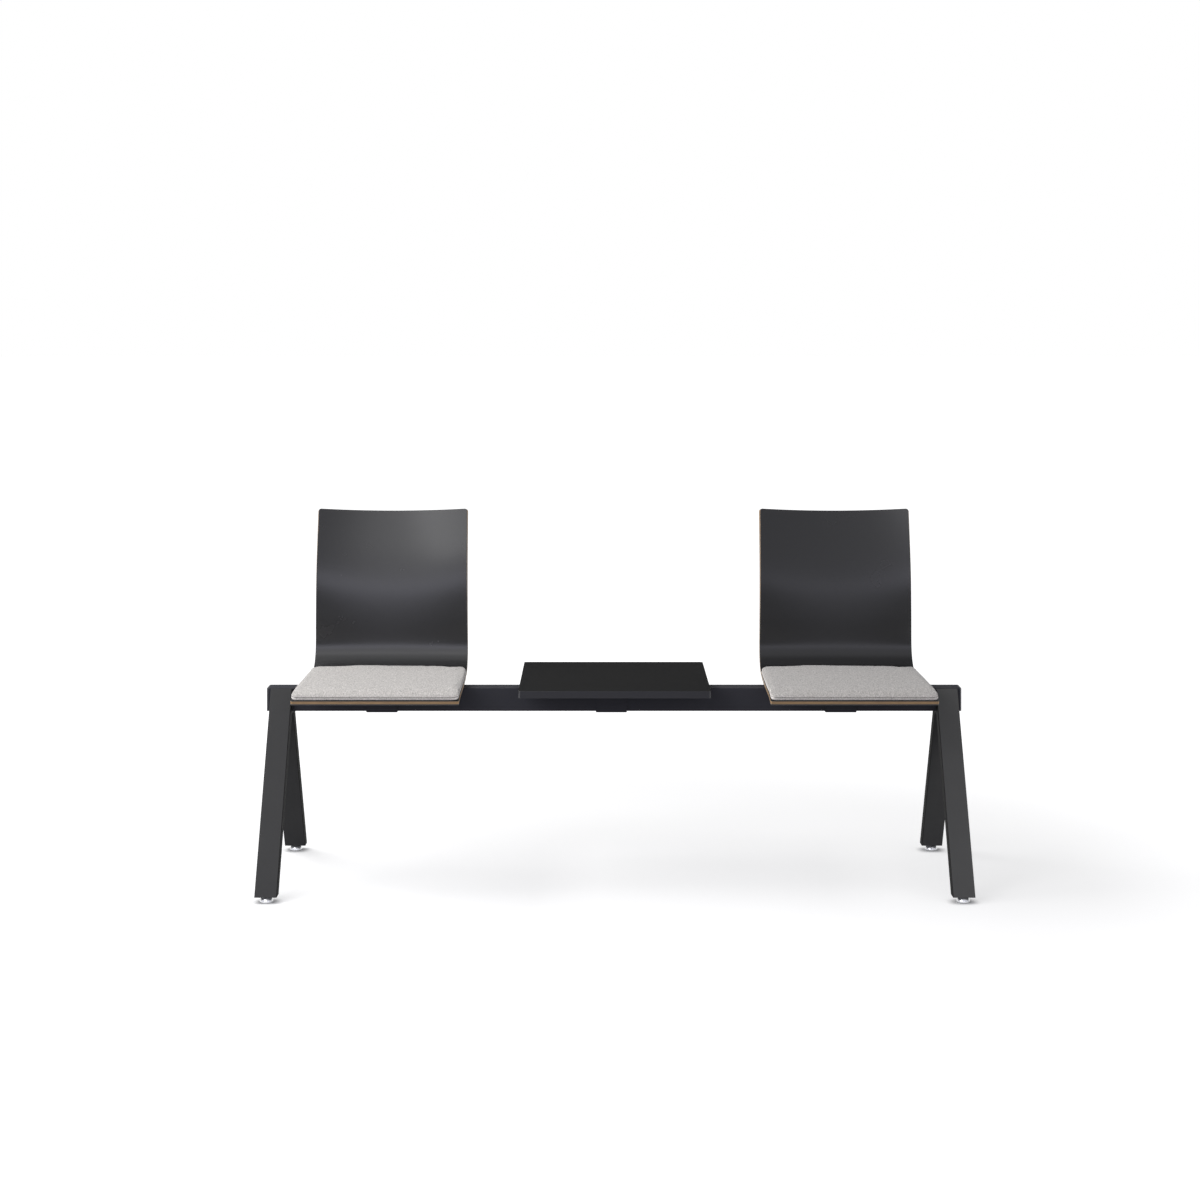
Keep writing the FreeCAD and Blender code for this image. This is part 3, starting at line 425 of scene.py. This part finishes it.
SHELL_WALL = 10 * MM
SEAT_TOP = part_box("table_top")[0].z + SHELL_WALL  # seats and table rest at one height
SEAT = SEAT_TOP / MM
FRONT_Y = -251
NOSE_Y, NOSE_RADIUS, NOSE_REACH = -195, 230, 60  # where the seat turns down, how round and how far
BEND_Y, BEND_RADIUS = 93.5, 58  # where the seat turns up into the back
BEND_DISH = 4.7  # how much further back the bend lies in the middle of the shell
WAIST, SHOULDER = 175, 290  # heights over the seat at which the back's curve changes
BACK_START, BACK_HEIGHT = 0.3, 377.5  # heights over the seat between which the back draws in
HALF_FRONT, HALF_BEND, HALF_TOP = 188, 184, 179.75  # half the width
EASINGS = 14


def shares(count):
    """Even shares from 0 up to 1, without the last."""
    return [step / count for step in range(count)]


def shell_line(shift, leans, top):
    """The sitter's side from the front edge to the top; leans are the back's, in degrees, going up."""
    low, waist, crest = (math.radians(lean) for lean in leans)
    points = []
    turn = math.asin(NOSE_REACH / NOSE_RADIUS)
    for share in shares(8):
        angle = turn * (1 - share)
        points.append((NOSE_Y - NOSE_RADIUS * math.sin(angle),
                       SEAT - NOSE_RADIUS + NOSE_RADIUS * math.cos(angle)))
    bend, centre = BEND_Y + shift, SEAT + BEND_RADIUS
    points += [(NOSE_Y + (bend - NOSE_Y) * share, SEAT) for share in shares(24)]
    sweep = math.pi / 2 - low
    for share in shares(20):
        angle = sweep * share
        points.append((bend + BEND_RADIUS * math.sin(angle), centre - BEND_RADIUS * math.cos(angle)))
    y, z = bend + BEND_RADIUS * math.cos(low), centre - BEND_RADIUS * math.sin(low)
    for start, end, height in ((low, waist, SEAT + WAIST), (waist, crest, SEAT + SHOULDER)):
        radius = (height - z) / (math.sin(end) - math.sin(start))
        for share in shares(16):
            lean = start + (end - start) * share
            points.append((y + radius * (math.cos(start) - math.cos(lean)),
                           z + radius * (math.sin(lean) - math.sin(start))))
        y, z = y + radius * (math.cos(start) - math.cos(end)), height
    climb = top - z
    points += [(y + climb * math.tan(crest) * share, z + climb * share) for share in (*shares(12), 1)]
    for _ in range(EASINGS):
        eased = zip(points, points[1:], points[2:])
        points[1:-1] = [tuple((a + 2 * b + c) / 4 for a, b, c in zip(*three)) for three in eased]
    return points


def half_width(y, z):
    """Half the width of the shell, from the front edge to the bend and on to the top."""
    if z > SEAT + BACK_START:
        return HALF_BEND - (HALF_BEND - HALF_TOP) * min((z - SEAT) / BACK_HEIGHT, 1)
    drawn_in = min(max((y - FRONT_Y) / (BEND_Y - FRONT_Y), 0), 1)
    return HALF_FRONT - (HALF_FRONT - HALF_BEND) * drawn_in ** 3


def make_shells():
    """A sheet laid along the lines of the side edges and the middle, thickened, rounded and copied."""
    rim = shell_line(shift=0, leans=(-6.1, 0, 13.2), top=SEAT + 383.5)
    middle = shell_line(shift=BEND_DISH, leans=(0, 4, 17), top=SEAT + 375.5)
    columns = 33
    clear_selection()
    bpy.ops.mesh.primitive_grid_add(x_subdivisions=columns - 1, y_subdivisions=len(rim) - 1, size=1)
    shell = named("shell")
    mesh = edit(shell)
    for vertex in mesh.verts:
        column, row = vertex.co.x * 2, round((vertex.co.y + 0.5) * (len(rim) - 1))
        x = column * half_width(*rim[row])
        dish = (x / HALF_FRONT) ** 2
        y, z = (m + (r - m) * dish for m, r in zip(middle[row], rim[row]))
        vertex.co = Vector((x * MM, BEAM_Y + y * MM, z * MM))
    low, high = min(v.co.z for v in mesh.verts), max(v.co.z for v in mesh.verts)
    for height, radius in ((low, 4), (high, 6)):
        ends = sorted((v for v in mesh.verts if abs(v.co.z - height) < 0.5 * MM), key=lambda v: v.co.x)
        corners = (ends[0], ends[-1])
        pick(shell, mesh, mesh.verts, lambda vertex: vertex in corners)
        bpy.ops.mesh.bevel(offset=radius * MM, affect="VERTICES", segments=5)
        mesh = bmesh.from_edit_mesh(shell.data)
    bpy.ops.mesh.select_all(action="SELECT")
    bpy.ops.mesh.normals_make_consistent(inside=False)
    done()
    settle(shell)
    up = next(f for f in shell.data.polygons if abs(f.normal.z) > 0.99)
    if up.normal.z < 0:
        shell.data.flip_normals()
    sheet = BVHTree.FromPolygons([v.co for v in shell.data.vertices],
                                 [face.vertices for face in shell.data.polygons])
    paint(shell, LAMINATE, PLY_EDGE)
    modify(shell, "SOLIDIFY", thickness=SHELL_WALL, offset=-1, use_even_offset=True, use_rim=True,
           material_offset_rim=1)
    modify(shell, "BEVEL", width=0.5 * MM, segments=2, limit_method="ANGLE",
           angle_limit=math.radians(50))
    depths = shell.data.attributes.new("ply_depth", "FLOAT", "POINT")
    for vertex, depth in zip(shell.data.vertices, depths.data):
        depth.value = min(sheet.find_nearest(vertex.co)[3] / SHELL_WALL, 1)
    # Painted light: marks the edges that face sideways, which the ply edge lightens
    sides = shell.data.attributes.new("ply_painted_side_light", "FLOAT", "POINT")
    for vertex, side_lit in zip(shell.data.vertices, sides.data):
        side_lit.value = 1 if abs(vertex.normal.x) > 0.5 else 0
    smooth(shell, 20)
    for side in SIDES:
        put(copy_of(shell, f"shell_{side}"), middle_of(f"seat_shell_{side}"),
            "bench", f"seat_shell_{side}")
    bpy.data.objects.remove(shell)


# Felt pads. Sizes without MM are in mm.

PAD_WALL = 12.6 * MM
PAD_LIFT = 0.3  # clear of the shell
PAD_REACH = 59  # over the nose
PAD_HALF, PAD_TAPER = 187.4, 3.4  # half the width at the front, and how much less it is at the rear
PAD_SIDE, PAD_BOW = 346, 24  # length along the sides, and how much more it is in the middle
PAD_CORNERS = (13, 20)  # front and rear
SEAM_SHOULDER, SEAM_WIDTH, SEAM_DEPTH = 5 * MM, 1.3 * MM, 1.2 * MM
SWELL, SWELL_FRAMES = 2 * MM, 20
SHARP_EDGE = 1  # radians


def pad_place(across, along):
    """A point of the underside; along runs from the front over the nose, the seat and the bend."""
    outer, inner = NOSE_RADIUS + PAD_LIFT, BEND_RADIUS - PAD_LIFT
    bend = BEND_Y + BEND_DISH * (1 - (across / HALF_FRONT) ** 2)
    nose = outer * math.asin(PAD_REACH / outer)
    flat = nose + bend - NOSE_Y
    if along < nose:
        angle = (nose - along) / outer
        return across, NOSE_Y - outer * math.sin(angle), SEAT - NOSE_RADIUS + outer * math.cos(angle)
    if along < flat:
        return across, NOSE_Y + along - nose, SEAT + PAD_LIFT
    angle = (along - flat) / inner
    return across, bend + inner * math.sin(angle), SEAT + BEND_RADIUS - inner * math.cos(angle)


def cut_cloth(column, share):
    """A point of the square grid on the cut cloth: drawn-in sides, a bowed rear and round corners."""
    half = PAD_HALF - PAD_TAPER * share ** 3
    length = PAD_SIDE + PAD_BOW * (1 - abs(column) ** 3)
    corner = PAD_CORNERS[0] if share < 0.5 else PAD_CORNERS[1]
    side, end = half * (1 - abs(column)), length * min(share, 1 - share)
    if side < corner and end < corner:
        a, b = 1 - side / corner, 1 - end / corner
        side = corner - corner * a * math.sqrt(1 - b * b / 2)
        end = corner - corner * b * math.sqrt(1 - a * a / 2)
    across = math.copysign(half - side, column)
    return pad_place(across, end if share < 0.5 else length - end)


def make_pads():
    """A boxed cushion: cut, bordered, sewn round the upper edge, blown up as a cloth bag and copied."""
    clear_selection()
    bpy.ops.mesh.primitive_grid_add(x_subdivisions=74, y_subdivisions=72, size=1)
    pad = named("pad")
    mesh = edit(pad)
    for vertex in mesh.verts:
        x, y, z = cut_cloth(vertex.co.x * 2, vertex.co.y + 0.5)
        vertex.co = Vector((x * MM, BEAM_Y + y * MM, z * MM))
    done()
    settle(pad)
    modify(pad, "SOLIDIFY", thickness=PAD_WALL, offset=1, use_even_offset=True, use_rim=True)
    mesh = edit(pad, "EDGE")
    pick(pad, mesh, mesh.edges, lambda edge: edge.calc_face_angle(0) > SHARP_EDGE
         and sum(face.normal.z for face in edge.link_faces) > 0.5)
    bpy.ops.mesh.bevel(offset=SEAM_SHOULDER, segments=3, affect="EDGES")
    mesh = bmesh.from_edit_mesh(pad.data)
    border = {face for face in mesh.faces if not face.select and abs(face.normal.z) < 0.6}
    pick(pad, mesh, mesh.edges, lambda edge: len(border.intersection(edge.link_faces)) == 1
         and any(face.select for face in edge.link_faces))
    bpy.ops.mesh.bevel(offset=SEAM_WIDTH, segments=2, affect="EDGES")
    mesh = bmesh.from_edit_mesh(pad.data)
    mesh.verts.index_update()
    seam = {v.index for v in mesh.verts if all(face.select for face in v.link_faces)}
    done()
    blow_up(pad, seam)
    mesh = edit(pad)
    pick(pad, mesh, mesh.verts, lambda vertex: vertex.index in seam)
    bpy.ops.transform.shrink_fatten(value=-SEAM_DEPTH)
    done()
    modify(pad, "SUBSURF", levels=1, render_levels=1)
    mark_cloth(pad, seam)
    paint(pad, FELT)
    smooth(pad, 70)
    for side in SIDES:
        twin = copy_of(pad, f"pad_{side}")
        put(twin, middle_of(f"seat_pad_{side}"), "bench", f"seat_pad_{side}")
    bpy.data.objects.remove(pad)


def blow_up(pad, seam):
    """Swells the pad under pressure, by SWELL at most; the underside and the seam are held."""
    start = [v.co.copy() for v in pad.data.vertices]
    held = pad.vertex_groups.new(name="held")
    for vertex in pad.data.vertices:
        if vertex.normal.z < -0.3 or vertex.index in seam:
            held.add([vertex.index], 1, "REPLACE")
    take(pad)
    cloth = pad.modifiers.new("Cloth", "CLOTH")
    cloth.settings.vertex_group_mass = "held"
    cloth.settings.use_pressure = True
    cloth.settings.uniform_pressure_force = 5
    cloth.settings.tension_stiffness = 40
    cloth.settings.compression_stiffness = 40
    cloth.settings.effector_weights.gravity = 0
    cloth.point_cache.frame_end = SWELL_FRAMES
    scene = bpy.context.scene
    for number in range(1, SWELL_FRAMES + 1):
        scene.frame_set(number)
    bpy.ops.object.modifier_apply(modifier=cloth.name)
    scene.frame_set(1)
    pad.vertex_groups.clear()
    for vertex, before in zip(pad.data.vertices, start):
        move = vertex.co - before
        if move.length > SWELL:
            vertex.co = before + move * (SWELL / move.length)


def mark_cloth(pad, seam):
    """Stores how far each point lies from the sewn line, in centimetres, for the painted seam shadow,
    and the painted light of the border, strongest where it faces sideways.
    """
    whole = {index: 0 for index in range(len(pad.data.vertices))}
    for edge in pad.data.edges:
        first, second = edge.vertices
        whole[first] += second in seam
        whole[second] += first in seam
    sewn = seam | {index for index, count in whole.items() if count > 1}
    stitches = []
    for edge in pad.data.edges:
        if sewn.issuperset(edge.vertices):
            first, second = (pad.data.vertices[index].co for index in edge.vertices)
            stitches += [first.lerp(second, step / 4) for step in range(5)]
    line = KDTree(len(stitches))
    for number, place in enumerate(stitches):
        line.insert(place, number)
    line.balance()
    distances = pad.data.attributes.new("seam_distance", "FLOAT", "POINT")
    border = pad.data.attributes.new("felt_painted_side_light", "FLOAT", "POINT")
    for vertex, distance, painted_side_light in zip(pad.data.vertices, distances.data, border.data):
        distance.value = min(line.find(vertex.co)[2] * 100, 1)
        # Painted light on the border, strongest on the faces turned left and right
        if abs(vertex.normal.z) < 0.5:
            painted_side_light.value = 0.15 + 0.85 * abs(vertex.normal.x)


# Table board

def rise(edge):
    return abs(edge.verts[0].co.z - edge.verts[1].co.z)


def make_table_top():
    """A board with rounded upright corners and a banded edge."""
    low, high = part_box("table_top")
    clear_selection()
    bpy.ops.mesh.primitive_cube_add(size=1, location=(low + high) / 2, scale=high - low)
    board = named("table_board")
    settle(board)
    mesh = edit(board, "EDGE")
    pick(board, mesh, mesh.edges, lambda edge: rise(edge) > 5 * MM)
    bpy.ops.mesh.bevel(offset=6 * MM, segments=8, affect="EDGES")
    mesh = bmesh.from_edit_mesh(board.data)
    pick(board, mesh, mesh.edges, lambda edge: rise(edge) < 1 * MM)
    bpy.ops.mesh.bevel(offset=0.4 * MM, segments=2, affect="EDGES")
    done()
    paint(board, BOARD, BOARD_EDGE)
    for face in board.data.polygons:
        face.material_index = 0 if abs(face.normal.z) > 0.6 else 1
    smooth(board, 15)
    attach(board, "bench")
    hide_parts("table_top")


# Turned pieces: glides and bolts

def turned(name, rings, steps=48):
    """A disc drawn up through rings of (radius, height) in mm; a third value gives a ring six flats."""
    radius, height = rings[0][:2]
    clear_selection()
    bpy.ops.mesh.primitive_circle_add(vertices=steps, radius=radius * MM, fill_type="NGON",
                                      location=(0, 0, height * MM))
    piece = named(name)
    settle(piece)
    edit(piece, "FACE")
    bpy.ops.mesh.select_all(action="SELECT")
    for ring in rings[1:]:
        wide, high = ring[:2]
        lift, wider = (0, 0, (high - height) * MM), wide / radius
        bpy.ops.mesh.extrude_region_move(TRANSFORM_OT_translate={"value": lift})
        bpy.ops.transform.resize(value=(wider, wider, 1), center_override=(0, 0, high * MM))
        if len(ring) == 3:
            mesh = bmesh.from_edit_mesh(piece.data)
            for vertex in mesh.verts:
                if vertex.select:
                    angle = math.atan2(vertex.co.y, vertex.co.x) % (math.pi / 3) - math.pi / 6
                    reach = wide * MM / math.cos(angle)
                    vertex.co.xy = vertex.co.xy.normalized() * reach
            bmesh.update_edit_mesh(piece.data)
        radius, height = wide, high
    done()
    face_outwards(piece)
    return piece


def threaded(name, root, crest, pitch, low, high):
    """A screw thread from low to high, in mm: one tooth wound round the axis and cut off square."""
    clear_selection()
    bpy.ops.mesh.primitive_plane_add(size=1 * MM)
    piece = named(name)
    edit(piece)
    bpy.ops.mesh.select_all(action="SELECT")
    bpy.ops.mesh.merge(type="CENTER")
    bpy.ops.transform.translate(value=(root * MM, 0, (low - 2 * pitch) * MM))
    for out, up in ((crest - root, 0.42), (0, 0.12), (root - crest, 0.42), (0, 0.04)):
        step = (out * MM, 0, up * pitch * MM)
        bpy.ops.mesh.extrude_vertices_move(TRANSFORM_OT_translate={"value": step})
    done()
    modify(piece, "SCREW", axis="Z", screw_offset=pitch * MM, steps=24, render_steps=24,
           iterations=math.ceil((high - low) / pitch) + 3)
    face_outwards(piece)
    for height, facing in ((low, -1), (high, 1)):
        edit(piece)
        bpy.ops.mesh.select_all(action="SELECT")
        bpy.ops.mesh.bisect(plane_co=(0, 0, height * MM), plane_no=(0, 0, facing), use_fill=True,
                            clear_outer=True)
        done()
    face_outwards(piece)
    return piece


def make_glides():
    """Four chromed domes on threaded studs."""
    dome = turned("glide_dome", DOME, 64)
    paint(dome, CHROME)
    smooth(dome, 40)
    stud = threaded("glide_thread", root=3.35, crest=3.98, pitch=1.25, low=0, high=25)
    paint(stud, ZINC)
    smooth(stud, 25)
    for corner in CORNERS:
        low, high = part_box(f"glide_foot_{corner}")
        place = Vector(((low.x + high.x) / 2, (low.y + high.y) / 2, low.z))
        root = Vector((place.x, place.y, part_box(f"glide_stud_{corner}")[0].z))
        put(copy_of(dome, f"dome_{corner}"), place,
            f"glide_{corner}", f"glide_foot_{corner}")
        put(copy_of(stud, f"thread_{corner}"), root,
            f"glide_{corner}", f"glide_stud_{corner}")
    for pattern in (dome, stud):
        bpy.data.objects.remove(pattern)


def make_leg_bolts():
    """Button-head bolts with six-sided sockets, two behind each end of the beam."""
    bolt = turned("leg_bolt", LEG_BOLT)
    paint(bolt, DARK_ZINC)
    smooth(bolt, 35)
    for side in SIDES:
        low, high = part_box(f"leg_bolts_{side}")
        for label, x in (("first", low.x + BOLT_HEAD), ("second", high.x - BOLT_HEAD)):
            twin = copy_of(bolt, f"leg_bolt_{side}_{label}")
            twin.rotation_euler = (-math.pi / 2, 0, 0)
            put(twin, (x, low.y, (low.z + high.z) / 2), "bench", f"leg_bolts_{side}")
    bpy.data.objects.remove(bolt)


# Studio

def make_floor():
    """White paper that runs out of sight behind the bench and keeps its shadow, with a painted contact
    shadow round the glides.
    """
    clear_selection()
    bpy.ops.mesh.primitive_plane_add(size=60, location=(0, 28, 0))
    floor = named("floor")
    settle(floor)
    white = Finish("studio_floor", Roughness=0.9, Specular_IOR_Level=0, Emission_Color=(1, 1, 1, 1))
    tree = white.tree
    ray = white.add("LightPath").outputs
    direct = arithmetic(tree, "MAXIMUM", ray["Is Camera Ray"], ray["Is Glossy Ray"])
    seen = arithmetic(tree, "MAXIMUM", direct, ray["Is Transmission Ray"])
    shade = white.add("Mix", data_type="RGBA",
                      A=(0.42, 0.42, 0.42, 1), B=(0.6, 0.6, 0.6, 1), Factor=seen)
    place = white.add("TexCoord").outputs["Object"]
    reach = white.add("VectorMath", operation="LENGTH", Vector=place).outputs["Value"]
    lift = mapped(tree, reach, interpolation_type="SMOOTHSTEP",
                  From_Min=0.9, From_Max=2.2, To_Min=0.58, To_Max=0.9)
    # Painted shadow: the floor's glow is dimmed by ambient occlusion close to the glides and legs
    painted_contact_shadow = white.add("AmbientOcclusion", Distance=20 * MM).outputs["AO"]
    glow_with_painted_shadow = arithmetic(tree, "MULTIPLY", lift, arithmetic(tree, "POWER", painted_contact_shadow, 2))
    white.feed(Base_Color=shade.outputs["Result"],
               Emission_Strength=arithmetic(tree, "MULTIPLY", seen, glow_with_painted_shadow))
    paint(floor, white.material)


def make_surround():
    """The studio round the bench: a bright strip of windows ahead, dim walls, a white sheet behind."""
    world = bpy.data.worlds.new("studio")
    bpy.context.scene.world = world
    world.use_nodes = True
    tree = world.node_tree
    direction = add_node(tree, "TexCoord").outputs["Generated"]
    split = add_node(tree, "SeparateXYZ", Vector=direction).outputs
    height = mapped(tree, split["Z"], From_Min=-1, From_Max=1)

    def grey(level, blue=1.0):
        return (level, level, level * blue, 1)

    ahead = ramp(tree, height,
                 (0.0, grey(0.2)), (0.482, grey(0.22)), (0.518, grey(0.8, 1.12)),
                 (0.6, grey(0.8, 1.09)), (0.84, grey(0.75, 1.04)), (0.93, grey(0.25)),
                 (1.0, grey(0.2)))
    behind = ramp(tree, height, (0.0, grey(0.3)), (0.5, grey(0.4)), (0.9, grey(0.25)))
    turn = mapped(tree, split["Y"], From_Min=0.2, From_Max=-0.3)
    room = add_node(tree, "Mix", data_type="RGBA", A=behind, B=ahead, Factor=turn)
    side = mapped(tree, split["X"], From_Min=-0.6, From_Max=0.6, To_Min=1.12, To_Max=0.82)
    lit = scaled(tree, room.outputs["Result"], side)

    ray = add_node(tree, "LightPath").outputs
    shiny = arithmetic(tree, "MAXIMUM", ray["Is Glossy Ray"], ray["Is Transmission Ray"])
    sheet = mapped(tree, split["Y"], From_Min=0.1, From_Max=0.3)
    low = mapped(tree, split["Z"], From_Min=0.3, From_Max=0.2)
    mirrored = arithmetic(tree, "MULTIPLY", shiny, arithmetic(tree, "MULTIPLY", sheet, low))
    white = arithmetic(tree, "MAXIMUM", mirrored, ray["Is Camera Ray"])
    seen = add_node(tree, "Mix", data_type="RGBA", A=lit, B=(1, 1, 1, 1), Factor=white)
    surround = tree.nodes["Background"]
    surround.inputs["Strength"].default_value = 1
    tree.links.new(seen.outputs["Result"], surround.inputs["Color"])


def make_lamps():
    """A softbox and panels ahead, brighter on the left, a key above the left seat and a fill flagged
    off all but the right legs and end cap."""
    plain, cool = (1, 1, 1), (0.95, 0.95, 1.12)
    for name, place, target, width, height, power, colour in (
        ("softbox", (-1.9, -2.4, 2.2), (0, 0.2, 0.7), 1.3, 1.2, 13, plain),
        ("panel_left", (-0.95, -2.4, 1.8), (-0.95, 0, 1.8), 1.3, 1.6, 6.2, (1, 1, 1.02)),
        ("top_left", (-0.65, -1.0, 2.0), (-0.55, 0.1, 0.5), 1.2, 1.3, 3.4, plain),
        ("strip_left", (-0.85, -2.4, 0.84), (-0.85, 0, 0.84), 1.8, 0.34, 5, cool),
        ("strip_right", (0.9, -2.4, 0.84), (0.9, 0, 0.84), 1.7, 0.34, 1.5, cool),
        ("key", (-1.8, 0.1, 2.3), (-0.2, 0, 0.4), 1.6, 1.6, 40, plain),
        ("fill_right", (1.3, -1.5, 0.9), (0.78, -0.1, 0.2), 0.6, 0.6, 12, plain),
    ):
        lamp = bpy.data.lights.new(name, "AREA")
        lamp.shape = "RECTANGLE"
        lamp.size = width
        lamp.size_y = height
        lamp.energy = power
        lamp.color = colour
        holder = bpy.data.objects.new(name, lamp)
        bpy.context.scene.collection.objects.link(holder)
        holder.location = place
        aim = Vector(target) - Vector(place)
        holder.rotation_euler = aim.to_track_quat("-Z", "Y").to_euler()
        if name == "fill_right":
            flagged = bpy.data.collections.new("lit_by_fill_right")
            for node in ("front_leg_right", "rear_leg_right", "beam_end_cap_right"):
                flagged.objects.link(nodes[node])
            holder.light_linking.receiver_collection = flagged


def make_camera():
    """The photograph's view: level, straight on, from a little above the backs."""
    camera = bpy.data.cameras.new("camera")
    camera.lens = 66
    camera.sensor_width = 36
    camera.shift_y = -0.24
    holder = bpy.data.objects.new("camera", camera)
    bpy.context.scene.collection.objects.link(holder)
    holder.location = (-0.033, BEAM_Y - 5.162, 1.315)
    holder.rotation_euler = (math.pi / 2, 0, 0)
    bpy.context.scene.camera = holder


def dress_nodes():
    """Gives the frame's own pieces their finishes."""
    finishes = {
        "frame_paint": FRAME_PAINT, "black_plastic": PLASTIC, "plywood": LAMINATE, "pad_cloth": FELT,
        "table_board": BOARD, "glide_chrome": CHROME, "zinc": ZINC, "dark_zinc": DARK_ZINC,
    }
    for part in frame["record"]["subparts"]:
        paint(nodes[part["node"]], finishes[part["material_slot"]])
    for name in ("beam", "seat_left_saddle", "seat_right_saddle", "table_saddle"):
        paint(nodes[name], BEAM_PAINT_WITH_PAINTED_SHADE)
    for name in ("front_leg_left", "front_leg_right", "rear_leg_left", "rear_leg_right"):
        paint(nodes[name], LEG_PAINT_WITH_PAINTED_SHADE)


def main():
    bpy.context.scene.view_settings.view_transform = "Standard"
    dress_nodes()
    make_shells()
    make_pads()
    make_table_top()
    make_glides()
    make_leg_bolts()
    make_floor()
    make_surround()
    make_lamps()
    make_camera()


main()
